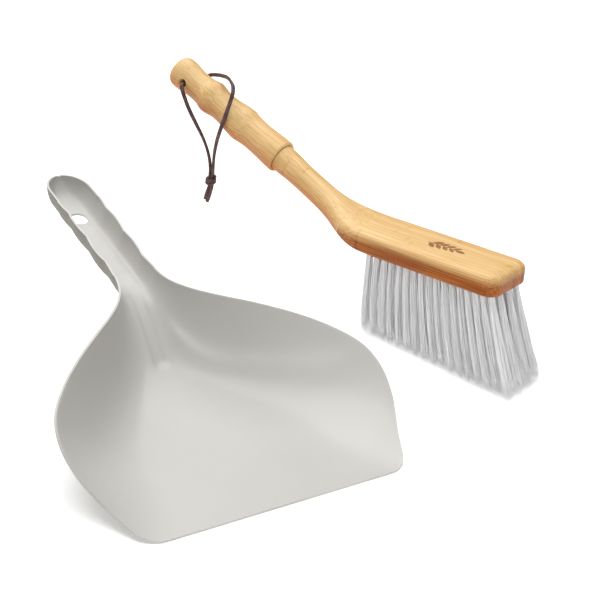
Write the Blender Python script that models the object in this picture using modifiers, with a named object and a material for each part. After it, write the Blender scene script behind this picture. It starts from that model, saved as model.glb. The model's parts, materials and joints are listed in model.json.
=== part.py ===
"""Dustpan and brush set: moulded dustpan, bamboo hand brush with bristle tufts, leather hanging thong.

Metres, +Z up.  The dustpan lies on its flat underside and the brush stands on its bristle tips beside it.
"""
import math

import bmesh
import bpy
import numpy as np
from mathutils import Matrix, Vector

MM = 0.001
GAP = 0.3 * MM                       # clearance kept between pieces that touch

# ---- dustpan ------------------------------------------------------------------------------------
PAN_WALL = 1.6 * MM
PAN_FLOOR = 2.0 * MM                 # height of the flat floor in the stations below
PAN_LIP = Vector((-74.0 * MM, -206.0 * MM, PAN_WALL - PAN_FLOOR))   # middle of the front lip
PAN_LENGTH = 346.0 * MM
LIP_CORNER_R = 12.0 * MM
HANDLE_END_RUN = 20.0 * MM
# (distance from lip, half width at rim, rim height, centre height, half width of flat floor), mm
PAN_STATIONS = (
    (0, 100.0, 2.0, 2.0, 80.0),
    (28, 112.0, 11.5, 2.0, 68.0),
    (56, 123.5, 27.5, 2.0, 62.0),
    (72, 125.5, 37.0, 2.0, 59.0),
    (90, 121.0, 46.5, 2.0, 54.0),
    (110, 106.0, 54.0, 2.2, 44.0),
    (130, 86.0, 59.0, 3.2, 33.0),
    (150, 63.5, 62.0, 6.6, 22.0),
    (168, 44.0, 62.8, 15.0, 12.0),
    (186, 28.0, 63.4, 30.5, 6.0),
    (203, 18.6, 64.6, 45.0, 5.0),
    (220, 15.3, 67.6, 52.2, 7.0),
    (240, 15.6, 71.0, 55.6, 8.0),
    (270, 15.6, 77.2, 61.4, 8.0),
    (300, 16.0, 82.6, 66.6, 8.0),
    (326, 15.8, 86.8, 71.0, 7.0),
    (346, 15.6, 89.2, 73.2, 7.0),
)
FLOOR_SHARE = 0.4                    # share of a section's points that lie on the flat floor
WALL_TURN_TRAY = math.radians(58)    # how far the wall has turned up at the rim
WALL_TURN_HANDLE = math.radians(88)
TURN_FROM = 120.0 * MM               # the turn grows from here over this run
TURN_RUN = 100.0 * MM
GRIP_WAVE_START = 234.0 * MM         # first finger notch along the handle's rims
GRIP_WAVE_PITCH = 31.0 * MM
GRIP_WAVE_COUNT = 3
GRIP_WAVE_HEIGHT = 1.5 * MM
GRIP_WAVE_MEAN = 0.62                # taken off |sin| so that the notches cut in
HANG_HOLE_Y = 310.0 * MM
HANG_HOLE_R = 7.0 * MM

# ---- brush --------------------------------------------------------------------------------------
HEAD_AT = Vector((144.6, -57.3, 87.5)) * MM       # on the head's top face, near its middle
HEAD_TURN = math.radians(-72.9)      # heading of the toe
HEAD_NOSE_UP = math.radians(4.2)
HEAD_HALF_WIDTH = 26.0 * MM
HEAD_THICKNESS = 19.0 * MM
HEAD_TOE = 79.0 * MM                 # toe face, measured along the head from HEAD_AT
TOE_CORNER_R = 11.0 * MM
GRIP_RISE = math.radians(22.6)       # grip axis above the head's top face
COLLAR_AT = (-148.0 * MM, 28.0 * MM)  # where the grip meets the neck: along the head, above it
GRIP_LENGTH = 128.0 * MM
# turned outline of the grip: (distance from butt face, radius), mm
GRIP_OUTLINE = (
    (0.0, 10.2), (0.9, 12.0), (3.2, 13.4), (8.0, 13.9), (17.0, 12.9), (26.0, 12.3), (34.0, 12.8),
    (42.5, 14.6), (47.0, 13.9), (54.0, 12.7), (62.0, 12.9), (72.0, 14.2), (82.0, 15.0), (88.0, 14.1),
    (97.0, 13.4), (108.0, 13.7), (118.0, 14.2), (124.0, 14.3), (127.2, 14.1), (128.0, 13.5),
)
# neck and heel sections: (along head, axis height, half width, half thickness, corner radius), mm
NECK_SECTIONS = (
    (-148.0, 28.0, 12.0, 12.0, 11.99),
    (-136.0, 22.8, 11.2, 11.2, 11.19),
    (-122.0, 16.3, 10.7, 10.7, 10.69),
    (-110.0, 10.8, 10.9, 10.7, 10.69),
    (-98.0, 5.3, 11.8, 10.6, 10.5),
    (-88.0, 0.9, 14.0, 10.5, 10.0),
    (-77.0, -3.6, 18.2, 10.2, 9.0),
    (-72.2, -5.25, 20.0, 10.1, 8.2),
)
HEEL_SECTIONS = (
    (-71.8, -5.35, 20.2, 10.1, 8.2),
    (-66.0, -7.0, 22.4, 9.9, 7.2),
    (-54.0, -9.0, 25.3, 9.6, 5.6),
    (-42.0, -9.5, 26.0, 9.5, 4.8),
    (-20.0, -9.5, 26.0, 9.5, 4.6),
    (20.0, -9.5, 26.0, 9.5, 4.6),
)
HEEL_END = -48.0                     # mm along the head, where the sections stop leaning
HEEL_RUN = 46.0
TOE_EDGE_R = 3.0                     # mm, rounding of the toe face's edges
DOWEL_R = 4.0 * MM
GRIP_DOWEL_HALF = 20.0 * MM
HEAD_DOWEL_HALF = 17.0 * MM

# ---- bristle tufts ------------------------------------------------------------------------------
TUFT_COLUMNS = 17
ROOT_FIRST = -40.0 * MM              # first and last column of drilled holes, along the head
ROOT_LAST = 72.0 * MM
TIP_FIRST = -28.5 * MM               # first and last column at the tips, along the floor
TIP_LAST = 107.0 * MM
ROOT_ROWS = (-17.4 * MM, -6.2 * MM, 6.2 * MM, 17.4 * MM)
TIP_ROWS = (-19.6 * MM, -6.9 * MM, 6.9 * MM, 19.6 * MM)
TUFT_ROOT_R = 2.3 * MM
TUFT_TIP_HALF = (3.7 * MM, 6.7 * MM)  # half size of a flared tip along and across the head
HOLE_DEPTH = 9.0 * MM

# ---- hanging thong ------------------------------------------------------------------------------
THONG_R = 1.4 * MM
THONG_HOLE_R = 3.2 * MM
THONG_HOLE_FROM_BUTT = 17.0 * MM
# free routes from the middle of the thong hole, mm: level towards the toe, sideways (far side
# positive), straight up
NEAR_LEG = (
    (0.0, 0.0, 0.0), (0.0, -5.5, 0.0), (0.1, -10.8, -0.1), (1.2, -14.8, -1.3), (3.6, -16.2, -4.8),
    (6.8, -16.1, -10.2), (11.2, -16.0, -16.8), (16.6, -15.8, -23.4), (23.0, -15.5, -30.6),
    (29.4, -15.0, -38.2), (34.8, -14.4, -46.6), (38.4, -13.6, -56.0), (39.8, -12.9, -64.0),
    (40.1, -12.6, -70.0),
)
FAR_LEG = (
    (0.0, 6.0, 0.0), (0.1, 10.8, 0.2), (1.5, 15.1, 1.3), (5.8, 16.8, 3.6), (13.8, 14.6, 6.4),
    (24.0, 10.0, 9.6), (35.2, 4.0, 12.2), (44.8, -2.4, 12.6), (51.6, -7.4, 11.0), (54.9, -11.2, 7.0),
    (55.4, -13.9, 0.8), (53.8, -15.5, -9.0), (49.8, -15.9, -23.6), (45.9, -15.2, -38.0),
    (43.8, -14.2, -50.0), (43.1, -13.2, -60.0), (43.0, -12.6, -70.0),
)
KNOT_TOP = -70.3 * MM
KNOT_HEIGHT = 10.0 * MM
KNOT_R = 4.7 * MM
TAIL_LENGTHS = (13.0 * MM, 15.0 * MM)
TAIL_APART = 1.5 * MM                # half the distance between the two tails
TAIL_LEAN = 3.6 * MM                 # how far both tails lean back towards the grip


# ---- helpers ------------------------------------------------------------------------------------
def clear_scene():
    for old in list(bpy.data.objects):
        bpy.data.objects.remove(old, do_unlink=True)


def new_collection(name):
    group = bpy.data.collections.new(name)
    bpy.context.scene.collection.children.link(group)
    return group


def finish_material(name, rgb, roughness, metallic=0.0):
    made = bpy.data.materials.new(name)
    made.use_nodes = True
    shader = made.node_tree.nodes["Principled BSDF"]
    shader.inputs["Base Color"].default_value = (*rgb, 1.0)
    shader.inputs["Roughness"].default_value = roughness
    shader.inputs["Metallic"].default_value = metallic
    return made


def smooth_through(stations, at):
    """Value at `at` of a smooth curve through (position, value) pairs, with slopes from the neighbours."""
    x = np.array([s[0] for s in stations], float)
    f = np.array([s[1] for s in stations], float)
    slope = np.gradient(f, x)
    flat = np.zeros(len(x), bool)
    step = np.diff(f)
    flat[:-1] |= step == 0
    flat[1:] |= step == 0
    slope[flat] = 0.0
    k = np.clip(np.searchsorted(x, at) - 1, 0, len(x) - 2)
    h = x[k + 1] - x[k]
    t = (np.asarray(at, float) - x[k]) / h
    return ((2 * t**3 - 3 * t**2 + 1) * f[k] + (t**3 - 2 * t**2 + t) * h * slope[k]
            + (3 * t**2 - 2 * t**3) * f[k + 1] + (t**3 - t**2) * h * slope[k + 1])


def mesh_object(name, points, faces, group, material, parent=None):
    mesh = bpy.data.meshes.new(name)
    mesh.from_pydata([tuple(p) for p in points], [], faces)
    mesh.update()
    made = bpy.data.objects.new(name, mesh)
    group.objects.link(made)
    if material:
        mesh.materials.append(material)
    made.parent = parent
    return made


def loft(name, rings, group, material, parent=None):
    """Closed solid through equal-length rings, capped at both ends; rings turn left-handed along the path."""
    count = len(rings[0])
    points = [p for ring in rings for p in ring]
    faces = []
    for r in range(len(rings) - 1):
        for i in range(count):
            j = (i + 1) % count
            faces.append((r * count + i, r * count + j, (r + 1) * count + j, (r + 1) * count + i))
    faces.append(tuple(reversed(range(count))))
    faces.append(tuple(range((len(rings) - 1) * count, len(rings) * count)))
    made = mesh_object(name, points, faces, group, material, parent)
    edit = bmesh.new()
    edit.from_mesh(made.data)
    bmesh.ops.recalc_face_normals(edit, faces=edit.faces)
    edit.to_mesh(made.data)
    edit.free()
    made.data.shade_smooth()
    made.data.set_sharp_from_angle(angle=math.radians(40))
    return made


def cylinder_cutter(name, radius, length, centre, direction, parent=None, sides=24):
    bpy.ops.mesh.primitive_cylinder_add(vertices=sides, radius=radius, depth=length)
    made = bpy.context.active_object
    made.name = name
    for owner in list(made.users_collection):
        owner.objects.unlink(made)
    CUTTERS.objects.link(made)
    made.parent = parent
    turn = Vector((0, 0, 1)).rotation_difference(Vector(direction).normalized())
    made.matrix_basis = Matrix.Translation(centre) @ turn.to_matrix().to_4x4()
    made.hide_render = True
    made.display_type = "WIRE"
    return made


def cut(piece, cutter):
    step = piece.modifiers.new("Cut " + cutter.name, "BOOLEAN")
    step.operation = "DIFFERENCE"
    step.solver = "EXACT"
    step.object = cutter


# ---- dustpan ------------------------------------------------------------------------------------
def pan_station(column, y):
    return float(smooth_through([(s[0], s[column]) for s in PAN_STATIONS], y / MM)) * MM


def finger_wave(y):
    """Rounded swellings with narrow notches between them, like the nodes of a cane."""
    run = (y - GRIP_WAVE_START) / GRIP_WAVE_PITCH
    if run <= -0.6 or run >= GRIP_WAVE_COUNT - 0.5:
        return 0.0
    return (abs(math.sin(math.pi * run)) - GRIP_WAVE_MEAN) * GRIP_WAVE_HEIGHT


def pan_section(y, across):
    """Row of points of the pan's inner surface at distance y from the lip."""
    half = pan_station(1, y) + finger_wave(y)
    rim = pan_station(2, y)
    centre = pan_station(3, y) - 0.5 * finger_wave(y)
    flat = pan_station(4, y)
    if y < LIP_CORNER_R:
        half += math.sqrt(LIP_CORNER_R**2 - (LIP_CORNER_R - y)**2) - LIP_CORNER_R
        flat = min(flat, half - 4 * MM)
    end = max(0.0, (y - (PAN_LENGTH - HANDLE_END_RUN)) / HANDLE_END_RUN)
    shrink = math.sqrt(max(0.0, 1.0 - end**2))
    half, flat, centre = half * shrink, flat * shrink, rim - (rim - centre) * shrink
    blend = min(1.0, max(0.0, (y - TURN_FROM) / TURN_RUN))
    turn = WALL_TURN_TRAY + (WALL_TURN_HANDLE - WALL_TURN_TRAY) * blend
    row = []
    for t in across:
        if abs(t) <= FLOOR_SHARE:
            row.append(PAN_LIP + Vector((flat * t / FLOOR_SHARE, y, centre)))
            continue
        angle = turn * (abs(t) - FLOOR_SHARE) / (1 - FLOOR_SHARE)
        out = flat + (half - flat) * math.sin(angle) / math.sin(turn)
        up = centre + (rim - centre) * (1 - math.cos(angle)) / (1 - math.cos(turn))
        row.append(PAN_LIP + Vector((math.copysign(out, t), y, up)))
    return row


def make_pan_shell(group):
    wall = [FLOOR_SHARE + (1 - FLOOR_SHARE) * k / 7 for k in range(1, 8)]
    floor = [FLOOR_SHARE * k / 2 for k in range(-2, 3)]
    across = [-t for t in reversed(wall)] + floor + wall
    rows = [0.0, 1.2, 4.0] + list(range(9, 222, 9)) + list(range(226, 330, 4))
    end = [(PAN_LENGTH - HANDLE_END_RUN) / MM + HANDLE_END_RUN / MM * math.sin(math.radians(a))
           for a in (8, 22, 36, 50, 64, 76, 85)]
    rows = [y * MM for y in rows + end]
    points = [p for y in rows for p in pan_section(y, across)]
    n = len(across)
    faces = [(r * n + i, r * n + i + 1, (r + 1) * n + i + 1, (r + 1) * n + i)
             for r in range(len(rows) - 1) for i in range(n - 1)]
    plastic = finish_material("pan_moulding", (0.62, 0.60, 0.56), 0.3)
    shell = mesh_object("pan_shell", points, faces, group, plastic)
    thick = shell.modifiers.new("Wall", "SOLIDIFY")
    thick.thickness = PAN_WALL
    thick.offset = -1.0
    thick.use_even_offset = True
    shell.data.shade_smooth()
    hole_z = pan_station(3, HANG_HOLE_Y)
    cut(shell, cylinder_cutter("hang_hole_cutter", HANG_HOLE_R, 16 * MM,
                               PAN_LIP + Vector((0, HANG_HOLE_Y, hole_z)), (0, 0, 1)))
    return shell


# ---- brush --------------------------------------------------------------------------------------
def rounded_ring(along, height, half_width, half_thick, corner, steps=6):
    """Rounded rectangle across the head, as (along, across, up) points."""
    ring = []
    for q, (sy, sz) in enumerate(((1, 1), (-1, 1), (-1, -1), (1, -1))):
        for k in range(steps):
            a = math.radians(90) * (q + k / (steps - 1))
            y = sy * (half_width - corner) + corner * math.cos(a)
            z = sz * (half_thick - corner) + corner * math.sin(a)
            ring.append(Vector((along, y, height + z)))
    return ring


def heel_slope(along_mm):
    """Lean of a section: the grip's rise on the neck, easing to nothing where the flat head begins."""
    return GRIP_RISE * min(1.0, max(0.0, (HEEL_END - along_mm) / HEEL_RUN))


def sloped_ring(section, slope):
    """Section ring leaned so that it stays square to the neck's axis."""
    along, height, half_width, half_thick, corner = (value * MM for value in section)
    ring = rounded_ring(along, height, half_width, half_thick, corner)
    return [Vector((along + (p.z - height) * math.sin(slope), p.y, height + (p.z - height) * math.cos(slope)))
            for p in ring]


def toe_sections():
    """Sections over the rounded toe: the plan corner and the rounded end edge."""
    middle = HEAD_TOE - TOE_CORNER_R
    edge = TOE_EDGE_R * MM
    height, half_thick, corner_r = HEEL_SECTIONS[-1][1], HEEL_SECTIONS[-1][3], HEEL_SECTIONS[-1][4]
    made = []
    for degrees in (0, 18, 36, 52, 66, 78, 87):
        a = math.radians(degrees)
        along = middle + TOE_CORNER_R * math.sin(a)
        half = HEAD_HALF_WIDTH - TOE_CORNER_R * (1 - math.cos(a))
        drop = max(0.0, along - (HEAD_TOE - edge))
        thin = edge - math.sqrt(max(0.0, edge**2 - drop**2))
        made.append((along / MM, height, half / MM, half_thick - thin / MM, corner_r - 0.6 * thin / MM))
    return made


def make_neck(group, frame, material):
    rings = [sloped_ring(section, heel_slope(section[0])) for section in NECK_SECTIONS]
    return loft("neck", rings, group, material, frame)


def make_head(group, frame, material):
    sections = list(HEEL_SECTIONS) + toe_sections()
    rings = [sloped_ring(section, heel_slope(section[0])) for section in sections]
    return loft("head_block", rings, group, material, frame)


def grip_axis():
    """Unit vector along the grip from the collar to the butt, in the head's frame."""
    return Vector((-math.cos(GRIP_RISE), 0, math.sin(GRIP_RISE)))


def make_grip(group, frame, material):
    """Turned solid: outline with a Screw modifier, +Z of the object from collar to butt."""
    outline = [(0.0, GRIP_LENGTH / MM)] + [(r, GRIP_LENGTH / MM - d) for d, r in GRIP_OUTLINE] + [(0.0, 0.0)]
    mesh = bpy.data.meshes.new("grip")
    points = [(r * MM, 0, z * MM) for r, z in outline]
    mesh.from_pydata(points, [(i, i + 1) for i in range(len(points) - 1)], [])
    grip = bpy.data.objects.new("grip", mesh)
    group.objects.link(grip)
    mesh.materials.append(material)
    spin = grip.modifiers.new("Turned", "SCREW")
    spin.steps = 28
    spin.render_steps = 28
    spin.use_merge_vertices = True
    spin.merge_threshold = 0.00001
    grip.parent = frame
    start = Vector((COLLAR_AT[0], 0, COLLAR_AT[1])) + grip_axis() * GAP
    turn = Vector((0, 0, 1)).rotation_difference(grip_axis())
    grip.matrix_basis = Matrix.Translation(start) @ turn.to_matrix().to_4x4()
    return grip


def thong_hole_centre():
    return (Vector((COLLAR_AT[0], 0, COLLAR_AT[1]))
            + grip_axis() * (GRIP_LENGTH - THONG_HOLE_FROM_BUTT + GAP))


def make_dowel(name, centre, direction, half, group, frame, material, hosts):
    bpy.ops.mesh.primitive_cylinder_add(vertices=20, radius=DOWEL_R - GAP, depth=2 * half - 2 * GAP)
    dowel = bpy.context.active_object
    dowel.name = name
    for owner in list(dowel.users_collection):
        owner.objects.unlink(dowel)
    group.objects.link(dowel)
    dowel.data.materials.append(material)
    dowel.parent = frame
    turn = Vector((0, 0, 1)).rotation_difference(direction)
    dowel.matrix_basis = Matrix.Translation(centre) @ turn.to_matrix().to_4x4()
    bore = cylinder_cutter(name + "_bore", DOWEL_R, 2 * half, centre, direction, frame, sides=20)
    for host in hosts:
        cut(host, bore)
    return dowel


# ---- bristle tufts ------------------------------------------------------------------------------
def tuft_rings(root, root_axis, tip, along, across):
    """Rings from the hole's floor down to the flared, level tip."""
    sides = 10
    rings = []
    reach = tip - root
    for share in (0.0, 0.0, 0.45, 1.0):
        at_top = not rings
        if at_top:
            centre, half_a, half_b = root - root_axis * (HOLE_DEPTH - GAP), TUFT_ROOT_R, TUFT_ROOT_R
        else:
            bow = 4 * share * (1 - share) * 1.5 * MM
            centre = root + reach * share - along * bow
            half_a = TUFT_ROOT_R + (TUFT_TIP_HALF[0] - TUFT_ROOT_R) * share
            half_b = TUFT_ROOT_R + (TUFT_TIP_HALF[1] - TUFT_ROOT_R) * share**1.3
        ring = []
        for k in range(sides):
            a = 2 * math.pi * (k + 0.5) / sides
            ring.append(centre + along * half_a * math.cos(a) + across * half_b * math.sin(a))
        rings.append(ring)
    return rings


def make_tufts(group, frame, head, material):
    """Two tufts whose flared ends merge make one node; every tuft has its own blind hole in the head."""
    to_head = frame.matrix_world.inverted()
    floor_at = Vector((HEAD_AT.x, HEAD_AT.y, 0))
    heading = Vector((math.cos(HEAD_TURN), math.sin(HEAD_TURN), 0))
    side = Vector((-math.sin(HEAD_TURN), math.cos(HEAD_TURN), 0))
    along = (to_head.to_3x3() @ heading).normalized()
    down = Vector((0, 0, -1))
    holes = bmesh.new()
    for column in range(TUFT_COLUMNS):
        share = column / (TUFT_COLUMNS - 1)
        root_s = ROOT_FIRST + (ROOT_LAST - ROOT_FIRST) * share
        tip_s = TIP_FIRST + (TIP_LAST - TIP_FIRST) * share
        pair = []
        for row in range(4):
            root = Vector((root_s, ROOT_ROWS[row], -HEAD_THICKNESS))
            tip = to_head @ (floor_at + heading * tip_s + side * TIP_ROWS[row])
            pair.append(loft("tuft", tuft_rings(root, down, tip, along, Vector((0, 1, 0))),
                             group, material, frame))
            spot = Matrix.Translation(root - down * (HOLE_DEPTH / 2 - 1 * MM))
            bmesh.ops.create_cone(holes, cap_ends=True, segments=10, radius1=TUFT_ROOT_R + GAP,
                                  radius2=TUFT_ROOT_R + GAP, depth=HOLE_DEPTH + 2 * MM, matrix=spot)
            if row % 2:
                name = ("tufts_near_" if row == 1 else "tufts_far_") + f"{column + 1:02d}"
                join_pair(name, pair)
                pair = []
    mesh = bpy.data.meshes.new("tuft_holes")
    holes.to_mesh(mesh)
    holes.free()
    cutter = bpy.data.objects.new("tuft_holes", mesh)
    CUTTERS.objects.link(cutter)
    cutter.parent = frame
    cutter.hide_render = True
    cutter.display_type = "WIRE"
    cut(head, cutter)


def join_pair(name, pair):
    """Boolean union of the two tufts, made permanent so that the node is one mesh."""
    first, second = pair
    first.name = name
    first.data.name = name
    step = first.modifiers.new("Merge", "BOOLEAN")
    step.operation = "UNION"
    step.solver = "EXACT"
    step.object = second
    bpy.context.view_layer.update()
    merged = bpy.data.meshes.new_from_object(first.evaluated_get(bpy.context.evaluated_depsgraph_get()))
    first.modifiers.clear()
    first.data = merged
    bpy.data.objects.remove(second, do_unlink=True)


# ---- hanging thong ------------------------------------------------------------------------------
def route(points_mm, spacing=6.0 * MM):
    """Even points on a smooth curve through the route's own points."""
    own = np.array(points_mm, float) * MM
    run = np.concatenate([[0.0], np.cumsum(np.linalg.norm(np.diff(own, axis=0), axis=1))])
    count = max(4, int(round(run[-1] / spacing)) + 1)
    at = np.linspace(0.0, run[-1], count)
    return np.stack([smooth_through(list(zip(run, own[:, k])), at) for k in range(3)], axis=1)


def tube(name, points, radius, group, material, parent):
    curve = bpy.data.curves.new(name, "CURVE")
    curve.dimensions = "3D"
    curve.bevel_depth = radius
    curve.bevel_resolution = 2
    curve.resolution_u = 1
    curve.render_resolution_u = 0
    curve.use_fill_caps = True
    line = curve.splines.new("POLY")
    line.points.add(len(points) - 1)
    for k, p in enumerate(points):
        line.points[k].co = (*p, 1.0)
    curve.materials.append(material)
    made = bpy.data.objects.new(name, curve)
    group.objects.link(made)
    made.parent = parent
    return made


def make_thong(group, pivot, material):
    tube("thong_near_leg", route(NEAR_LEG), THONG_R, group, material, pivot)
    tube("thong_far_leg", route(FAR_LEG), THONG_R, group, material, pivot)
    knot_x = 0.5 * (NEAR_LEG[-1][0] + FAR_LEG[-1][0]) * MM
    knot_y = NEAR_LEG[-1][1] * MM
    bpy.ops.mesh.primitive_uv_sphere_add(segments=16, ring_count=10, radius=1.0)
    knot = bpy.context.active_object
    knot.name = "thong_knot"
    for owner in list(knot.users_collection):
        owner.objects.unlink(knot)
    group.objects.link(knot)
    knot.data.transform(Matrix.Diagonal((KNOT_R, KNOT_R * 0.85, KNOT_HEIGHT / 2, 1.0)))
    knot.data.transform(Matrix.Translation((knot_x, knot_y, KNOT_TOP - KNOT_HEIGHT / 2)))
    knot.data.materials.append(material)
    knot.data.shade_smooth()
    knot.parent = pivot
    low = KNOT_TOP - KNOT_HEIGHT - GAP
    for name, side, length in zip(("thong_tail_near", "thong_tail_far"), (-1, 1), TAIL_LENGTHS):
        points = [(knot_x + side * TAIL_APART - TAIL_LEAN * t, knot_y, low - length * t)
                  for t in (0.0, 0.33, 0.66, 1.0)]
        tube(name, points, THONG_R, group, material, pivot)


# ---- assembly -----------------------------------------------------------------------------------
def make_brush(group):
    frame = bpy.data.objects.new("brush_frame", None)
    group.objects.link(frame)
    frame.matrix_world = (Matrix.Translation(HEAD_AT) @ Matrix.Rotation(HEAD_TURN, 4, "Z")
                          @ Matrix.Rotation(-HEAD_NOSE_UP, 4, "Y"))
    bpy.context.view_layer.update()
    bamboo = finish_material("bamboo_lacquered", (0.72, 0.45, 0.19), 0.32)
    dowel_wood = finish_material("dowel_beech", (0.70, 0.52, 0.33), 0.6)
    nylon = finish_material("bristle_filament", (0.70, 0.70, 0.72), 0.5)
    leather = finish_material("thong_leather", (0.10, 0.045, 0.035), 0.6)
    grip = make_grip(group, frame, bamboo)
    neck = make_neck(group, frame, bamboo)
    head = make_head(group, frame, bamboo)
    collar = Vector((COLLAR_AT[0], 0, COLLAR_AT[1]))
    make_dowel("grip_dowel", collar, grip_axis(), GRIP_DOWEL_HALF, group, frame, dowel_wood, (grip, neck))
    joint = Vector((0.5 * (NECK_SECTIONS[-1][0] + HEEL_SECTIONS[0][0]) * MM, 0,
                    0.5 * (NECK_SECTIONS[-1][1] + HEEL_SECTIONS[0][1]) * MM))
    slope = heel_slope(joint.x / MM)
    through_joint = Vector((-math.cos(slope), 0, math.sin(slope)))
    make_dowel("head_dowel", joint, through_joint, HEAD_DOWEL_HALF, group, frame, dowel_wood, (neck, head))
    make_tufts(group, frame, head, nylon)
    cut(grip, cylinder_cutter("thong_hole_cutter", THONG_HOLE_R, 40 * MM, thong_hole_centre(), (0, 1, 0), frame))
    pivot = bpy.data.objects.new("loop_pivot", None)
    group.objects.link(pivot)
    pivot.matrix_world = (Matrix.Translation(frame.matrix_world @ thong_hole_centre())
                          @ Matrix.Rotation(HEAD_TURN, 4, "Z"))
    make_thong(group, pivot, leather)
    return frame


clear_scene()
CUTTERS = new_collection("cutters")
PARTS = new_collection("dustpan_and_brush")
make_pan_shell(PARTS)
make_brush(PARTS)
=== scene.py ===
"""Looks of a dustpan and brush set: a moulded dustpan, a lacquered bamboo hand brush with flagged
bristles, and its leather hanging thong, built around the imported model.  Metres, +Z up."""
import json

import bmesh
import bpy
import numpy as np
from mathutils import Matrix, Vector


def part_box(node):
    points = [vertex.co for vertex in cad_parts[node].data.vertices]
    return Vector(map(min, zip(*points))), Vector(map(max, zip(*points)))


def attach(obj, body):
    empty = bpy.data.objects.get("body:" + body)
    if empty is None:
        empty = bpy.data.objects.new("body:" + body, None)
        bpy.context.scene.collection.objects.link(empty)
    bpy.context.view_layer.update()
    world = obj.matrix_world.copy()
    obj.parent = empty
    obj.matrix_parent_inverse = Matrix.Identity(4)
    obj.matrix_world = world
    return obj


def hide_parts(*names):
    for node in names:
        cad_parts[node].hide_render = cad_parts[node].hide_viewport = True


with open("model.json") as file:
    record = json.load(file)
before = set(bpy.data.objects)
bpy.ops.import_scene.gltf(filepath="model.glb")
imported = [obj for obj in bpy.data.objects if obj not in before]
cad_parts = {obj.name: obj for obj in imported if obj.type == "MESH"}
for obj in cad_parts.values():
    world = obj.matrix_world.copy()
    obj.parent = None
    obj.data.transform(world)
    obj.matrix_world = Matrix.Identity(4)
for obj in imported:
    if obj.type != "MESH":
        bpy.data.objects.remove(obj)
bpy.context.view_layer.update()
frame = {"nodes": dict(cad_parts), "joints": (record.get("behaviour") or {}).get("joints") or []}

MM = 0.001

# ---- camera -------------------------------------------------------------------------------------
# Stands in front and to the left of the set, a long lens looking down on it, leaned a few degrees.
CAMERA_AT = Vector((-0.5243, -0.7834, 0.5309))
CAMERA_HEADING = np.radians(37.32)       # from +Y towards +X
CAMERA_DOWN = np.radians(27.45)
CAMERA_LEAN = np.radians(7.55)
CAMERA_LENS = 82.92                      # mm, on the usual 36 mm sensor

camera = bpy.data.objects.new("camera", bpy.data.cameras.new("camera"))
camera.data.lens = CAMERA_LENS
camera.matrix_world = (Matrix.Translation(CAMERA_AT) @ Matrix.Rotation(-CAMERA_HEADING, 4, "Z")
                       @ Matrix.Rotation(np.pi / 2 - CAMERA_DOWN, 4, "X")
                       @ Matrix.Rotation(CAMERA_LEAN, 4, "Z"))
bpy.context.scene.collection.objects.link(camera)
bpy.context.scene.camera = camera

# ---- hanging thong ------------------------------------------------------------------------------
# A cut leather lace threaded through the hole in the grip, both ends brought together, knotted and
# trimmed.  It hangs from the hole, so the whole loop turns about the hole's axis.
swing = next(joint for joint in frame["joints"] if joint["name"] == "loop_swing")
HOLE_AT = np.array(swing["pos_m"])
SIDE = -np.array(swing["axis"])          # from the near face of the brush to the far face
UP = np.array((0.0, 0.0, 1.0))
HEADING = np.cross(SIDE, UP)             # level, from the grip towards the toe
LACE = 2.8 * MM                          # lace diameter
LACE_WIDE, LACE_THICK = 1.22, 0.94       # its cut section is slightly flat
LACE_TWIST, TWIST_RUN = np.radians(230), 0.12   # the lace turns this far over this many metres
# routes from the middle of the hole, mm: along HEADING, along SIDE, along UP
NEAR_LEG = (
    (0.0, 0.0, 0.0), (0.0, -5.5, 0.0), (0.1, -10.8, -0.1), (1.2, -14.8, -1.3), (3.6, -16.2, -4.8),
    (6.8, -16.1, -10.2), (11.2, -16.0, -16.8), (16.6, -15.8, -23.4), (23.0, -15.5, -30.6),
    (29.4, -15.0, -38.2), (34.8, -14.4, -46.6), (38.4, -13.6, -56.0), (39.8, -12.9, -64.0),
    (40.1, -12.6, -70.0),
)
FAR_LEG = (
    (0.0, 6.0, 0.0), (0.1, 10.8, 0.2), (1.5, 15.1, 1.3), (5.8, 16.8, 3.6), (13.8, 14.6, 6.4),
    (24.0, 10.0, 9.6), (35.2, 4.0, 12.2), (44.8, -2.4, 12.6), (51.6, -7.4, 11.0), (54.9, -11.2, 7.0),
    (55.4, -13.9, 0.8), (53.8, -15.5, -9.0), (49.8, -15.9, -23.6), (45.9, -15.2, -38.0),
    (43.8, -14.2, -50.0), (43.1, -13.2, -60.0), (43.0, -12.6, -70.0),
)
KNOT_TOP, KNOT_FOOT = -70.0, -80.6       # mm below the hole
TAIL_LENGTHS = (13.0, 15.0)              # mm
TAIL_APART, TAIL_LEAN = 1.3, 3.6         # mm, half their distance; how far they lean to the grip


def linear(hex_colour):
    """sRGB hex to the linear RGBA that shaders take."""
    value = np.array([int(hex_colour[k:k + 2], 16) for k in (1, 3, 5)]) / 255
    return (*np.where(value <= 0.04045, value / 12.92, ((value + 0.055) / 1.055) ** 2.4), 1.0)


def add(tree, kind, settings, links=()):
    """Adds one node; settings are properties or sockets' values, links are (socket, output) pairs."""
    made = tree.nodes.new("ShaderNode" + kind)
    for key, value in settings.items():
        if isinstance(key, int) or key in made.inputs:
            made.inputs[key].default_value = value
        else:
            setattr(made, key, value)
    for key, output in links:
        tree.links.new(output, made.inputs[key])
    return made


def new_material(name):
    """Empty material: its node tree, and the Principled shader already linked to the output."""
    made = bpy.data.materials.new(name)
    made.use_nodes = True
    return made, made.node_tree, made.node_tree.nodes["Principled BSDF"]


def ramp(tree, source, stops):
    """Colour ramp fed by source; stops are (position, hex colour)."""
    made = add(tree, "ValToRGB", {}, [("Fac", source)])
    band = made.color_ramp
    while len(band.elements) < len(stops):
        band.elements.new(0.5)
    for element, (position, colour) in zip(band.elements, stops):
        element.position = position
        element.color = linear(colour)
    return made.outputs["Color"]


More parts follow.
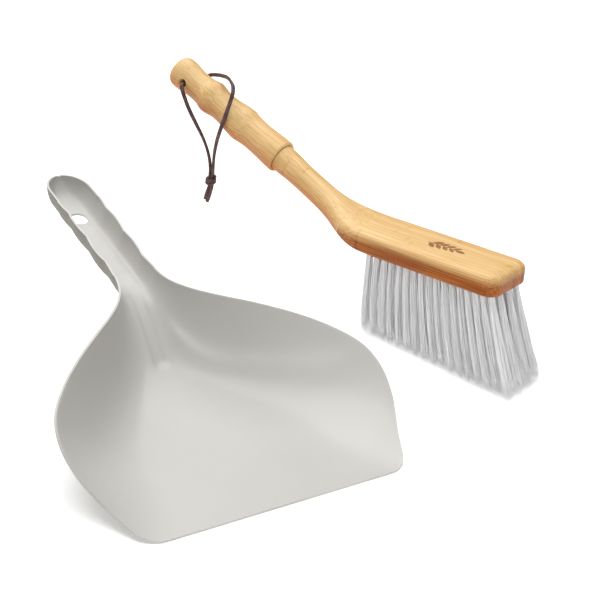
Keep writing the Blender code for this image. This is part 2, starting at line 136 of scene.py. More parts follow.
def through(stations, at, soften=0.0):
    """Smooth curve through (position, values...) rows: cubic pieces whose slopes come from the
    neighbours, level beside equal rows, averaged over a bell window of half width `soften`."""
    rows = np.asarray(stations, float)
    x, f = rows[:, 0], rows[:, 1:]
    slope = np.gradient(f, x, axis=0)
    level = np.zeros(f.shape, bool)
    level[:-1] |= np.diff(f, axis=0) == 0
    level[1:] |= np.diff(f, axis=0) == 0
    slope[level] = 0.0

    def cubic(where):
        """Hermite cubic between rows k and k + 1, with t the share of the way between them."""
        k = np.clip(np.searchsorted(x, where) - 1, 0, len(x) - 2)
        h = (x[k + 1] - x[k])[:, None]
        t = (where - x[k])[:, None] / h
        return ((2 * t**3 - 3 * t**2 + 1) * f[k] + (t**3 - 2 * t**2 + t) * h * slope[k]
                + (3 * t**2 - 2 * t**3) * f[k + 1] + (t**3 - t**2) * h * slope[k + 1])

    at = np.asarray(at, float)
    if not soften:
        return cubic(at)
    reach = np.linspace(-2.5 * soften, 2.5 * soften, 21)
    weight = np.exp(-2 * (reach / soften) ** 2)
    where = at[:, None] + reach
    inside = np.clip(where, x[0], x[-1])
    end_slope = np.where((where < x[0])[..., None], slope[0], slope[-1])
    value = cubic(inside.ravel()).reshape(*where.shape, -1) + (where - inside)[..., None] * end_slope
    return (value * weight[:, None]).sum(1) / weight.sum()


WELD, EDGE_ANGLE = 0.004 * MM, np.radians(48)    # points closer than this join; sharper edges stay


def skin(name, grid, material, ring=False, caps=False):
    """Mesh over a grid of points: quads between neighbours, the last column joined to the first for a
    ring, and a flat face on each end of the tube for caps; welded, facing out, smooth but for edges."""
    rows, columns = grid.shape[:2]
    index = np.arange(rows * columns).reshape(rows, columns)
    if ring:
        index = np.hstack([index, index[:, :1]])
    quads = np.stack([index[:-1, :-1], index[:-1, 1:], index[1:, 1:], index[1:, :-1]], -1)
    faces = quads.reshape(-1, 4).tolist()
    if caps:
        faces += [index[0, :columns].tolist(), index[-1, :columns].tolist()]
    mesh = bpy.data.meshes.new(name)
    mesh.from_pydata(grid.reshape(-1, 3).tolist(), [], faces)
    edit = bmesh.new()
    edit.from_mesh(mesh)
    bmesh.ops.remove_doubles(edit, verts=edit.verts, dist=WELD)
    bmesh.ops.recalc_face_normals(edit, faces=edit.faces)
    edit.to_mesh(mesh)
    edit.free()
    mesh.materials.append(material)
    mesh.shade_smooth()
    mesh.set_sharp_from_angle(angle=EDGE_ANGLE)
    made = bpy.data.objects.new(name, mesh)
    bpy.context.scene.collection.objects.link(made)
    return made


def lace(name, path, material, turn=0.0):
    """Lace along path: a rounded flat section square to the path, wide |cos|^0.8 by thick |sin|^0.8,
    rolled by turn + LACE_TWIST for every TWIST_RUN of its length."""
    run = np.concatenate([[0.0], np.cumsum(np.linalg.norm(np.diff(path, axis=0), axis=1))])
    forward = np.gradient(path, run, axis=0)
    forward /= np.linalg.norm(forward, axis=1)[:, None]
    first = np.cross(forward, HEADING + UP)
    first /= np.linalg.norm(first, axis=1)[:, None]
    second = np.cross(forward, first)
    roll = (turn + LACE_TWIST * run / TWIST_RUN)[:, None, None]
    around = np.linspace(0, 2 * np.pi, 20, endpoint=False)[None, :, None]
    wide = LACE_WIDE * LACE / 2 * np.sign(np.cos(around)) * np.abs(np.cos(around)) ** 0.8
    thick = LACE_THICK * LACE / 2 * np.sign(np.sin(around)) * np.abs(np.sin(around)) ** 0.8
    out_1 = wide * np.cos(roll) - thick * np.sin(roll)
    out_2 = wide * np.sin(roll) + thick * np.cos(roll)
    grid = path[:, None, :] + out_1 * first[:, None, :] + out_2 * second[:, None, :]
    return skin(name, grid, material, ring=True, caps=True)


def from_hole(points_mm):
    """Points given along HEADING, SIDE and UP from the hole, mm, as world points."""
    return HOLE_AT + np.asarray(points_mm) @ np.stack([HEADING, SIDE, UP]) * MM


def leg_path(points_mm, spacing=0.9):
    """Smooth path through a leg's points, one point to each `spacing` mm, and its length in metres."""
    own = np.asarray(points_mm, float)
    run = np.concatenate([[0.0], np.cumsum(np.linalg.norm(np.diff(own, axis=0), axis=1))])
    at = np.linspace(0, run[-1], int(run[-1] / spacing))
    return from_hole(through(np.column_stack([run, own]), at)), run[-1] * MM


# thong_leather: vegetable tanned lace, waxed; dark brown with paler rubbed high spots and fine pores
leather, tree, shader = new_material("thong_leather")
place = add(tree, "TexCoord", {}).outputs["Object"]
# blotches of wax are about 4 mm long
mottle = add(tree, "TexNoise", {"Scale": 1 / (3.85 * MM), "Detail": 5.0, "Roughness": 0.6},
             [("Vector", place)])
# real pores are about 0.2 mm; drawn at 0.7 mm so that they show
pores = add(tree, "TexVoronoi", {"Scale": 1 / (0.7 * MM)}, [("Vector", place)])
colour = ramp(tree, mottle.outputs["Fac"], [(0.3, "#2e1a18"), (0.52, "#4a2f2c"), (0.75, "#755149")])
tree.links.new(colour, shader.inputs["Base Color"])
bump = add(tree, "Bump", {"Strength": 0.5, "Distance": 0.12 * MM},
           [("Height", pores.outputs["Distance"])])
tree.links.new(bump.outputs["Normal"], shader.inputs["Normal"])
shader.inputs["Roughness"].default_value = 0.48
shader.inputs["IOR"].default_value = 1.5

near_path, near_length = leg_path(NEAR_LEG)
far_path, far_length = leg_path(FAR_LEG)
near_leg = lace("lace_near_leg", near_path, leather)
far_leg = lace("lace_far_leg", far_path, leather, turn=0.9)

# the knot: both strands pass straight through it, and one is wound round them two and a half times, in
# an oval helix that draws in by a quarter at its ends and rocks up and down as it goes round
WIND_TURNS, WIND_R = 2.5, 3.5            # mm, to the middle of the wound lace
WIND_FLAT, WIND_ROCK = 0.86, 1.1         # depth over width; mm
STRAND_APART, BURIED = 1.45, 0.15        # mm, half the strands' distance; how far ends overlap
knot_middle = np.array((0.5 * (NEAR_LEG[-1][0] + FAR_LEG[-1][0]), NEAR_LEG[-1][1], 0.0))
wound = np.linspace(0, 1, 110)[:, None]
angle = 2 * np.pi * WIND_TURNS * wound
wind = np.hstack([WIND_R * (1.0 - 0.25 * np.abs(2 * wound - 1) ** 3) * np.cos(angle),
                  WIND_R * WIND_FLAT * np.sin(angle),
                  KNOT_TOP - 1.9 + (KNOT_FOOT - KNOT_TOP + 4.2) * wound + WIND_ROCK * np.sin(angle + 0.8)])
knot = lace("lace_knot", from_hole(knot_middle + wind), leather)
strands = []
for side, name in ((-1, "lace_knot_strand_near"), (1, "lace_knot_strand_far")):
    drop = np.linspace(KNOT_TOP - BURIED, KNOT_FOOT + BURIED, 12)
    line = np.stack([np.full(12, side * STRAND_APART), np.zeros(12), drop], 1)
    strands.append(lace(name, from_hole(knot_middle + line), leather))
tails = []
tail_names = ("lace_tail_near", "lace_tail_far")
for side, name, length in zip((-1, 1), tail_names, TAIL_LENGTHS):
    share = np.linspace(0, 1, 20)
    line = np.stack([side * TAIL_APART - TAIL_LEAN * share, 0.5 * side * np.sin(3 * share),
                     KNOT_FOOT - BURIED - length * share], 1)
    tails.append(lace(name, from_hole(knot_middle + line), leather, turn=side))

for piece in [near_leg, far_leg, knot, *strands, *tails]:
    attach(piece, "hanging_loop")
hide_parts("thong_near_leg")
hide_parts("thong_far_leg")
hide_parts("thong_knot")
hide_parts("thong_tail_near")
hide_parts("thong_tail_far")

# ---- dustpan ------------------------------------------------------------------------------------
# One injection moulding in warm grey polypropylene, 1.6 mm thick: a wide tray whose sides and back
# sweep up and run together into a trough-shaped handle with a hanging hole.  Nothing is fixed to it.
pan_low, pan_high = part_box("pan_shell")
PAN_WALL, PAN_FLOOR = 1.6, 2.0           # wall; height of the flat floor in the stations below
LIP = np.array((0.5 * (pan_low.x + pan_high.x), pan_low.y, (PAN_WALL - PAN_FLOOR) * MM))
PAN_LENGTH = (pan_high.y - pan_low.y) / MM
LIP_CORNER, LIP_EDGE = 12.0, 4.0         # radius of the lip's corners; least width of the wall there
HANDLE_END_RUN = 20.0                    # mm over which the handle's end rounds off
# (distance from lip, half width at rim, rim height, centre height, half width of flat floor), mm
PAN_STATIONS = (
    (0, 100.0, 2.0, 2.0, 80.0), (28, 112.0, 11.5, 2.0, 68.0), (56, 123.5, 27.5, 2.0, 62.0),
    (72, 125.5, 37.0, 2.0, 59.0), (90, 121.0, 46.5, 2.0, 54.0), (110, 106.0, 54.0, 2.2, 44.0),
    (130, 86.0, 59.0, 3.2, 33.0), (150, 63.5, 62.0, 6.6, 22.0), (168, 44.0, 62.8, 15.0, 12.0),
    (186, 28.0, 63.4, 30.5, 6.0), (203, 18.6, 64.6, 45.0, 5.0), (220, 15.3, 67.6, 52.2, 7.0),
    (240, 15.6, 71.0, 55.6, 8.0), (270, 15.6, 77.2, 61.4, 8.0), (300, 16.0, 82.6, 66.6, 8.0),
    (326, 15.8, 86.8, 71.0, 7.0), (346, 15.6, 89.2, 73.2, 7.0),
)
FLOOR_SHARE = 0.4                        # share of the section given to the flat floor
TURN_TRAY, TURN_HANDLE = np.radians(58), np.radians(88)   # how far the wall has turned up at the rim
TURN_FROM, TURN_RUN = 120.0, 100.0       # the one goes over into the other from here, over this run
WAVE_START, WAVE_PITCH, WAVE_COUNT, WAVE_HEIGHT = 234.0, 31.0, 3, 1.5    # finger notches
GROOVE_DEPTH, GROOVE_HALF = 3.0, 5.0     # channel that carries the trough on down the back wall
GROOVE_FROM, GROOVE_IN, GROOVE_TO, GROOVE_OUT = 163.0, 8.0, 222.0, 22.0  # its ends and their fades
HANG_HOLE_Y, HANG_HOLE_R = 310.0, 7.0


def finger_wave(y):
    """(|sin(pi run)| - 0.62) times the height, run counted in pitches; nothing beyond the notches."""
    run = (y - WAVE_START) / WAVE_PITCH
    inside = (run > -0.6) & (run < WAVE_COUNT - 0.5)
    return np.where(inside, (np.abs(np.sin(np.pi * run)) - 0.62) * WAVE_HEIGHT, 0.0)


def pan_inside(y, t):
    """Inner surface: flat floor for |t| under FLOOR_SHARE; beyond it the wall is an arc stretched to
    reach the rim, out = flat + (half - flat) sin(a) / sin(turn) and
    up = centre + (rim - centre) (1 - cos a) / (1 - cos turn).  The lip's corners and the handle's end
    are quarter ellipses, and the groove sinks the middle by GROOVE_DEPTH exp(-(out / GROOVE_HALF)^4)."""
    y = y[:, None]
    half, rim, centre, flat = through(PAN_STATIONS, y[:, 0], soften=5.0).T[..., None]
    half = half + finger_wave(y)
    centre = centre - 0.5 * finger_wave(y)
    corner = np.clip(LIP_CORNER - y, 0, LIP_CORNER)
    half = half + np.sqrt(LIP_CORNER**2 - corner**2) - LIP_CORNER
    flat = np.where(y < LIP_CORNER, np.minimum(flat, half - LIP_EDGE), flat)
    end = np.clip((y - (PAN_LENGTH - HANDLE_END_RUN)) / HANDLE_END_RUN, 0, 1)
    shrink = np.sqrt(1 - end**2)
    half, flat, centre = half * shrink, flat * shrink, rim - (rim - centre) * shrink
    turn = TURN_TRAY + (TURN_HANDLE - TURN_TRAY) * np.clip((y - TURN_FROM) / TURN_RUN, 0, 1)
    angle = turn * np.clip((np.abs(t) - FLOOR_SHARE) / (1 - FLOOR_SHARE), 0, 1)
    out = np.where(np.abs(t) < FLOOR_SHARE, flat * np.abs(t) / FLOOR_SHARE,
                   flat + (half - flat) * np.sin(angle) / np.sin(turn))
    up = centre + (rim - centre) * (1 - np.cos(angle)) / (1 - np.cos(turn))
    window = np.clip((y - GROOVE_FROM) / GROOVE_IN, 0, 1) * np.clip((GROOVE_TO - y) / GROOVE_OUT, 0, 1)
    window = window * window * (3 - 2 * window)
    up = up - GROOVE_DEPTH * window * np.exp(-(out / GROOVE_HALF) ** 4)
    return LIP + np.stack([out * np.sign(t), np.broadcast_to(y, out.shape), up], -1) * MM


def settle(piece):
    """Makes the piece's modifiers permanent."""
    depsgraph = bpy.context.evaluated_depsgraph_get()
    done = bpy.data.meshes.new_from_object(piece.evaluated_get(depsgraph))
    piece.modifiers.clear()
    piece.data = done
    return piece


def cut(piece, cutter):
    """Takes the cutter's shape out of the piece for good and removes the cutter."""
    step = piece.modifiers.new("Cut", "BOOLEAN")
    step.operation = "DIFFERENCE"
    step.solver = "EXACT"
    step.object = cutter
    settle(piece)
    bpy.data.objects.remove(cutter, do_unlink=True)


def turned(name, stations, centre, axis, material, sides=72):
    """Turned body: centre + distance * axis + radius * spoke, for (distance, radius) stations in
    metres and spokes all round the axis."""
    axis = Vector(axis).normalized()
    across = axis.orthogonal().normalized()
    other = axis.cross(across)
    around = np.linspace(0, 2 * np.pi, sides, endpoint=False)
    spoke = np.cos(around)[:, None] * np.array(across) + np.sin(around)[:, None] * np.array(other)
    stations = np.asarray(stations, float)
    grid = (np.array(centre) + stations[:, 0, None, None] * np.array(axis)
            + stations[:, 1, None, None] * spoke[None])
    return skin(name, grid, material, ring=True, caps=True)


# pan_polypropylene: injection moulded, satin; a faint orange-peel, patches polished a little more by
# use, and edges rubbed a little paler
plastic, tree, shader = new_material("pan_polypropylene")
place = add(tree, "TexCoord", {}).outputs["Object"]
# worn patches are about 110 mm across
cloud = add(tree, "TexNoise", {"Scale": 1 / (111 * MM), "Detail": 3.0}, [("Vector", place)])
body = ramp(tree, cloud.outputs["Fac"], [(0.3, "#bbb9b4"), (0.7, "#c0beba")])
rubbed = add(tree, "NewGeometry", {}).outputs["Pointiness"]
edge = add(tree, "MapRange", {"From Min": 0.53, "From Max": 0.66, "To Max": 0.25},
           [("Value", rubbed)])
worn = add(tree, "Mix", {"data_type": "RGBA", 7: linear("#e2dfd9")},
           [(0, edge.outputs[0]), (6, body)])
tree.links.new(worn.outputs[2], shader.inputs["Base Color"])
gloss = add(tree, "MapRange", {"From Min": 0.35, "From Max": 0.65, "To Min": 0.28, "To Max": 0.35},
            [("Value", cloud.outputs["Fac"])])
tree.links.new(gloss.outputs[0], shader.inputs["Roughness"])
# real orange-peel is about 1 mm across and a few microns high; drawn at 3 mm so that it shows
peel = add(tree, "TexNoise", {"Scale": 1 / (3.0 * MM), "Detail": 1.0}, [("Vector", place)])
bump = add(tree, "Bump", {"Strength": 0.05, "Distance": 0.05 * MM}, [("Height", peel.outputs["Fac"])])
tree.links.new(bump.outputs["Normal"], shader.inputs["Normal"])
shader.inputs["IOR"].default_value = 1.49
shader.inputs["Specular IOR Level"].default_value = 0.32

# the same moulding's outer skin, spark-eroded, so matt; its grey is drawn darker than the smooth inside as
# painted shade of the outer walls; the grain is drawn at 0.8 mm, about twice its real size
shaded_outside, tree, shader = new_material("pan_outside_shaded")
place = add(tree, "TexCoord", {}).outputs["Object"]
grit = add(tree, "TexNoise", {"Scale": 1 / (0.8 * MM), "Detail": 2.0}, [("Vector", place)])
tree.links.new(ramp(tree, grit.outputs["Fac"], [(0.3, "#88857e"), (0.7, "#918e87")]),
               shader.inputs["Base Color"])
bump = add(tree, "Bump", {"Strength": 0.2, "Distance": 0.06 * MM}, [("Height", grit.outputs["Fac"])])
tree.links.new(bump.outputs["Normal"], shader.inputs["Normal"])
shader.inputs["Roughness"].default_value = 0.7
shader.inputs["IOR"].default_value = 1.49
shader.inputs["Specular IOR Level"].default_value = 0.3

# columns crowd a little towards the rim, rows towards the lip's corners and the handle's end
wall = 1 - (1 - np.linspace(0, 1, 29)[1:]) ** 1.15
across = np.concatenate([-(FLOOR_SHARE + (1 - FLOOR_SHARE) * wall[::-1]),
                         np.linspace(-FLOOR_SHARE, FLOOR_SHARE, 25),
                         FLOOR_SHARE + (1 - FLOOR_SHARE) * wall])
end_angle = np.radians(np.array((6, 14, 22, 30, 38, 46, 54, 62, 69, 75, 80, 84, 87)))
lengths = np.concatenate([LIP_CORNER * (1 - np.cos(np.radians(np.linspace(0, 84, 12)))),
                          np.arange(13, PAN_LENGTH - HANDLE_END_RUN, 2.0),
                          PAN_LENGTH - HANDLE_END_RUN * (1 - np.sin(end_angle))])
pan = skin("dustpan_moulding", pan_inside(lengths, across), plastic)
if np.mean([face.normal.z * face.area for face in pan.data.polygons]) < 0:
    pan.data.flip_normals()
thick = pan.modifiers.new("Wall", "SOLIDIFY")
thick.thickness = PAN_WALL * MM
thick.offset = -1.0
thick.use_even_offset = True
pan.data.materials.append(shaded_outside)
thick.material_offset = 1
settle(pan)
hole_floor = through(PAN_STATIONS, [HANG_HOLE_Y])[0, 2]
hole_middle = LIP + np.array((0, HANG_HOLE_Y, hole_floor)) * MM
cut(pan, turned("hang_hole", [(-8 * MM, HANG_HOLE_R * MM), (8 * MM, HANG_HOLE_R * MM)], hole_middle,
                (0, 0, 1), plastic, sides=96))
rounding = pan.modifiers.new("Rounding", "BEVEL")
rounding.width = 0.6 * MM
rounding.segments = 3
rounding.limit_method = "ANGLE"
rounding.angle_limit = np.radians(50)
settle(pan)
pan.data.shade_smooth()
pan.data.set_sharp_from_angle(angle=np.radians(60))
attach(pan, "dustpan")
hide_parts("pan_shell")

# ---- brush handle: grip and neck ------------------------------------------------------------------
# Solid bamboo laminate, turned or shaped, sanded and lacquered.  The grip ends in a collar step; the
# neck is glued into it on a dowel and runs down to the heel of the head; the joint there is a painted
# highlight line.
NOSE_UP = np.radians(4.2)                # the head's toe stands this much higher than its heel
GRIP_RISE = np.radians(22.6)             # grip axis above the head's top face
COLLAR = np.array((-148.0, 0.0, 28.0))   # where grip and neck meet, mm, in the head's frame
GRIP_LENGTH = 128.0
HOLE_FROM_BUTT = 17.0
GAP = 0.3                                # mm between the grip's end and the neck
HOLE_R, HOLE_STRAIGHT, HOLE_FLARE = 3.2, 11.2, 0.3   # thong hole, mm, and its flare, mm per square mm
DOWEL_R, GRIP_DOWEL_HALF, HEAD_DOWEL_HALF = 4.0, 20.0, 17.0
# turned outline of the grip: (distance from butt face, radius), mm
GRIP_OUTLINE = (
    (0.0, 10.2), (0.9, 12.0), (3.2, 13.4), (8.0, 13.9), (17.0, 12.9), (26.0, 12.3), (34.0, 12.8),
    (42.5, 14.6), (47.0, 13.9), (54.0, 12.7), (62.0, 12.9), (72.0, 14.2), (82.0, 15.0), (88.0, 14.1),
    (97.0, 13.4), (108.0, 13.7), (118.0, 14.2), (124.0, 14.3), (127.2, 14.1), (128.0, 13.5),
)
# neck and head: (along head, axis height, half width, half thickness, edge inset, top drop, lower drop)
BAR_STATIONS = (
    (-148.0, 28.0, 12.0, 12.0, 11.9, 11.9, 11.9), (-136.0, 22.8, 11.2, 11.2, 11.1, 11.1, 11.1),
    (-122.0, 16.3, 10.7, 10.7, 10.6, 10.6, 10.6), (-110.0, 10.8, 10.9, 10.7, 10.6, 10.5, 10.5),
    (-98.0, 5.3, 11.8, 10.6, 11.4, 10.3, 10.3), (-88.0, 0.9, 14.0, 10.5, 12.0, 9.8, 9.8),
    (-77.0, -3.6, 18.2, 10.2, 11.6, 8.8, 8.4), (-66.0, -7.0, 22.4, 9.9, 11.0, 7.8, 6.4),
    (-54.0, -9.0, 25.3, 9.6, 10.2, 6.8, 4.6), (-42.0, -9.5, 26.0, 9.5, 9.6, 6.4, 3.6),
    (-20.0, -9.5, 26.0, 9.5, 9.2, 6.2, 3.4), (80.0, -9.5, 26.0, 9.5, 9.2, 6.2, 3.4),
)
BAR_SOFT = 3.0                           # mm, half width of the window that smooths the stations
BEND_FROM, BEND_RUN = 48.0, 46.0         # mm behind the head's middle where the axis starts to rise
NECK_HEAD_JOINT, JOINT_HEIGHT = -72.0, -5.3      # joint line between neck and head; its dowel's height
JOINT_HALF = 0.25                              # half its thickness
# shares of the half section where the top, its edge, the side, the lower edge and the bottom end
TOP_END, EDGE_END, SIDE_END, LOWER_END = 0.2, 0.45, 0.55, 0.8

along_axis = np.cos(NOSE_UP) * HEADING + np.sin(NOSE_UP) * UP
up_axis = np.cos(NOSE_UP) * UP - np.sin(NOSE_UP) * HEADING
HEAD_TURN = np.stack([along_axis, SIDE, up_axis])
grip_axis = np.array((-np.cos(GRIP_RISE), 0.0, np.sin(GRIP_RISE)))
hole_in_head = COLLAR + grip_axis * (GRIP_LENGTH - HOLE_FROM_BUTT + GAP)
HEAD_AT = HOLE_AT - hole_in_head @ HEAD_TURN * MM


def in_head(points_mm):
    """Points in the head's frame, mm along, across and up, as world points."""
    return HEAD_AT + np.asarray(points_mm) @ HEAD_TURN * MM


def bar_profile(station, v):
    """Half section from the top middle (v = 0) to the bottom middle (v = 1): a flat top, a quarter
    ellipse, a straight side, a quarter ellipse, a flat bottom.  Gives the share of the way out from
    the spine to the rounded edge, the inset from the outline and the height; on the upper ellipse
    the inset is inset (1 - sin a) and the height thick - top (1 - cos a), a quarter turn in all."""
    thick, inset, top, low = station.T[2:6, :, None]
    ends = (0, TOP_END, EDGE_END, SIDE_END, LOWER_END, 1)
    piece = [np.clip((v - a) / (b - a), 0, 1) for a, b in zip(ends, ends[1:])]
    out = np.where(v < 0.5, piece[0], 1 - piece[4]) + 0 * thick
    turn_top, turn_low = piece[1] * np.pi / 2, piece[3] * np.pi / 2
    pulled = np.where(v < 0.5, inset * (1 - np.sin(turn_top)), inset * (1 - np.cos(turn_low)))
    height = np.where(v < 0.5, thick - top * (1 - np.cos(turn_top)),
                      -thick + low * (1 - np.sin(turn_low)))
    side = (thick - top) + (-thick + low - (thick - top)) * piece[2]
    height = np.where((v > EDGE_END) & (v < SIDE_END), side, height)
    return out, pulled, height


def bend(along, across, height, axis_height):
    """Carries a straight bar onto the handle's axis: along + height sin(lean) and
    axis height + height cos(lean), with a lean that grows from nothing to GRIP_RISE over BEND_RUN."""
    lean = GRIP_RISE * np.clip((-along - BEND_FROM) / BEND_RUN, 0, 1)
    return in_head(np.stack([along + height * np.sin(lean), across,
                             axis_height + height * np.cos(lean)], -1))


def bamboo(name, origin, turn, strip, shade_span, shade_tones):
    """Lacquered laminated bamboo: strips of the given width glued edge to edge, straight fibres, a
    faint node band now and then on each strip; the lacquer makes it satin.  Along its own third axis,
    between the two given heights in metres, it goes over to the given darker tones: painted shade."""
    made, tree, shader = new_material(name)
    place = add(tree, "TexCoord", {}).outputs["Object"]
    turned_to = add(tree, "Mapping", {"vector_type": "TEXTURE", "Location": origin,
                                      "Rotation": Matrix(turn.T).to_euler()},
                    [("Vector", place)]).outputs[0]
    # fibre bundles are about 0.4 mm wide; drawn at 0.9 mm so that they show
    stretch = add(tree, "Mapping", {"Scale": (1 / (55 * MM), 1 / (0.9 * MM), 1 / (0.9 * MM))},
                  [("Vector", turned_to)]).outputs[0]
    fibre = add(tree, "TexNoise", {"Scale": 1.0, "Detail": 3.0, "Roughness": 0.6}, [("Vector", stretch)])
    split = add(tree, "SeparateXYZ", {}, [("Vector", turned_to)])
    lane = add(tree, "Math", {"operation": "DIVIDE", 1: strip}, [(0, split.outputs["Y"])])
    lane = add(tree, "Math", {"operation": "FLOOR"}, [(0, lane.outputs[0])])
    chance = add(tree, "TexWhiteNoise", {"noise_dimensions": "1D"}, [("W", lane.outputs[0])])
    # nodes of the cane: one to each 170 mm of strip, fading over 3.4 mm, each strip's in its own place
    run = add(tree, "Math", {"operation": "MULTIPLY_ADD", 1: 1 / (170 * MM)},
              [(0, split.outputs["X"]), (2, chance.outputs["Value"])])
    run = add(tree, "Math", {"operation": "FRACT"}, [(0, run.outputs[0])])
    node_band = add(tree, "MapRange", {"From Min": 0.0, "From Max": 0.02, "To Min": 0.14, "To Max": 0.0},
                    [("Value", run.outputs[0])])
    # the cane's own colour changes over about 55 mm
    patch = add(tree, "TexNoise", {"Scale": 1 / (55.5 * MM), "Detail": 1.0}, [("Vector", turned_to)])
    tone = add(tree, "Math", {"operation": "MULTIPLY_ADD", 1: 0.16},
               [(0, chance.outputs["Value"]), (2, fibre.outputs["Fac"])])
    tone = add(tree, "Math", {"operation": "MULTIPLY_ADD", 1: 0.2},
               [(0, patch.outputs["Fac"]), (2, tone.outputs[0])])
    tone = add(tree, "Math", {"operation": "ADD"}, [(0, tone.outputs[0]), (1, node_band.outputs[0])])
    wood = ramp(tree, tone.outputs[0],
                [(0.38, "#e4c996"), (0.62, "#d8b47c"), (0.85, "#c9995a"), (1.0, "#b07836")])
    dark = ramp(tree, tone.outputs[0], shade_tones)
    # painted shade: the wood goes over to the darker tones towards its lower side
    painted_shade = add(tree, "MapRange", {"interpolation_type": "SMOOTHSTEP", "From Min": shade_span[0],
                                  "From Max": shade_span[1]}, [("Value", split.outputs["Z"])])
    shade = add(tree, "Mix", {"data_type": "RGBA"}, [(0, painted_shade.outputs[0]), (6, wood), (7, dark)])
    tree.links.new(shade.outputs[2], shader.inputs["Base Color"])
    bump = add(tree, "Bump", {"Strength": 0.08, "Distance": 0.1 * MM}, [("Height", fibre.outputs["Fac"])])
    tree.links.new(bump.outputs["Normal"], shader.inputs["Normal"])
    shader.inputs["Roughness"].default_value = 0.5
    shader.inputs["IOR"].default_value = 1.5
    shader.inputs["Specular IOR Level"].default_value = 0.2
    shader.inputs["Coat Weight"].default_value = 0.2
    shader.inputs["Coat Roughness"].default_value = 0.2
    return made


grip_turn = np.stack([grip_axis @ HEAD_TURN, SIDE, np.cross(grip_axis @ HEAD_TURN, SIDE)])
# painted shade over the lower sides: dark honey on grip and neck, browner on the head
AMBER_SHADE = [(0.42, "#cf8638"), (0.66, "#ae5f1d"), (0.9, "#84400d")]
UMBER_SHADE = [(0.42, "#c87f2c"), (0.66, "#994f12"), (0.9, "#682f05")]
grip_wood = bamboo("bamboo_turned", in_head(COLLAR), grip_turn, 7 * MM, (-0.009, 0.011), AMBER_SHADE)
neck_wood = bamboo("bamboo_shaped", in_head(COLLAR), grip_turn, 7.5 * MM, (-0.006, 0.009), AMBER_SHADE)
head_wood = bamboo("bamboo_laminate", HEAD_AT, HEAD_TURN, 6.5 * MM, (-0.001, -0.0105), UMBER_SHADE)

outline = np.asarray(GRIP_OUTLINE)
reach = np.concatenate([[0.0], np.cumsum(np.linalg.norm(np.diff(outline, axis=0), axis=1))])
profile = through(np.column_stack([reach, outline]), np.linspace(0, reach[-1], 230))
profile[:, 0] = GRIP_LENGTH - np.clip(profile[:, 0], 0, GRIP_LENGTH)
grip = turned("turned_grip", profile * MM, in_head(COLLAR + grip_axis * GAP), grip_axis @ HEAD_TURN,
              grip_wood, sides=112)
# the hole's radius is HOLE_R, and grows by HOLE_FLARE times the square of the way past HOLE_STRAIGHT
flare_at = np.linspace(-18, 18, 73)
flare = HOLE_R + HOLE_FLARE * np.clip(np.abs(flare_at) - HOLE_STRAIGHT, 0, 4) ** 2
cut(grip, turned("thong_hole", np.column_stack([flare_at, flare]) * MM, HOLE_AT, SIDE, grip_wood))


def dowel_bore(piece, centre, axis, half):
    """Takes a dowel's round bore, `half` mm either way from centre, out of the piece."""
    ends = [(-half * MM, DOWEL_R * MM), (half * MM, DOWEL_R * MM)]
    cut(piece, turned("dowel_bore", ends, centre, axis @ HEAD_TURN, neck_wood, sides=40))


dowel_bore(grip, in_head(COLLAR), grip_axis, GRIP_DOWEL_HALF)
joint_lean = GRIP_RISE * (-NECK_HEAD_JOINT - BEND_FROM) / BEND_RUN
joint_axis = np.array((-np.cos(joint_lean), 0.0, np.sin(joint_lean)))
neck_joint = in_head((NECK_HEAD_JOINT, 0.0, JOINT_HEIGHT))

v = np.linspace(0, 1, 41)[None, :]       # shares of the way round the half section
flat_part = (v < TOP_END) | (v > LOWER_END)


def bar_run(name, along, material):
    """Length of the shaped bar between the first and the last of the stations in along, mm: the half
    section of bar_profile and its mirror image, half width less inset from the axis."""
    bar = through(BAR_STATIONS, along, soften=BAR_SOFT)
    out, pulled, height = bar_profile(bar, v)
    half_width, inset = bar[:, 1, None], bar[:, 3, None]
    width = np.where(flat_part, out * (half_width - inset), half_width - pulled)
    along = np.broadcast_to(along[:, None], width.shape)
    one_side, other_side = [bend(along, side * width, height, bar[:, 0, None]) for side in (1, -1)]
    grid = np.concatenate([one_side, other_side[:, -2:0:-1]], axis=1)
    return skin(name, grid, material, ring=True, caps=True)


# the joint between neck and head drawn as a thin pale line: a painted highlight of its edge; cloudy over
# 1.4 mm
joint_highlight, tree, shader = new_material("joint_painted_highlight")
place = add(tree, "TexCoord", {}).outputs["Object"]
cloudy = add(tree, "TexNoise", {"Scale": 1 / (1.43 * MM)}, [("Vector", place)])
tree.links.new(ramp(tree, cloudy.outputs["Fac"], [(0.3, "#dcbb87"), (0.7, "#e6cb9b")]),
               shader.inputs["Base Color"])
shader.inputs["Roughness"].default_value = 0.5

neck = bar_run("shaped_neck", np.linspace(-148.0, NECK_HEAD_JOINT - JOINT_HALF, 90), neck_wood)
# painted highlight: a thin pale slab at the joint stands for the light that its edge catches
joint_line = bar_run("joint_highlight_line", NECK_HEAD_JOINT + 0.8 * JOINT_HALF * np.array((-1.0, 1.0)), joint_highlight)
dowel_bore(joint_line, neck_joint, joint_axis, HEAD_DOWEL_HALF)
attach(joint_line, "brush")
dowel_bore(neck, in_head(COLLAR), grip_axis, GRIP_DOWEL_HALF)
dowel_bore(neck, neck_joint, joint_axis, HEAD_DOWEL_HALF)
for piece, node in ((grip, "grip"), (neck, "neck")):
    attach(piece, "brush")
    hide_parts(node)

# dowel_beech: plain turned dowels, unfinished and glued in; hidden in the assembled brush; flecks 1.1 mm
beech, tree, shader = new_material("dowel_beech")
place = add(tree, "TexCoord", {}).outputs["Object"]
fleck = add(tree, "TexNoise", {"Scale": 1 / (1.11 * MM), "Detail": 2.0}, [("Vector", place)])
tree.links.new(ramp(tree, fleck.outputs["Fac"], [(0.35, "#c9a274"), (0.65, "#dcb98c")]),
               shader.inputs["Base Color"])
shader.inputs["Roughness"].default_value = 0.65
for name in ("grip_dowel", "head_dowel"):
    frame["nodes"][name].material_slots[0].material = beech

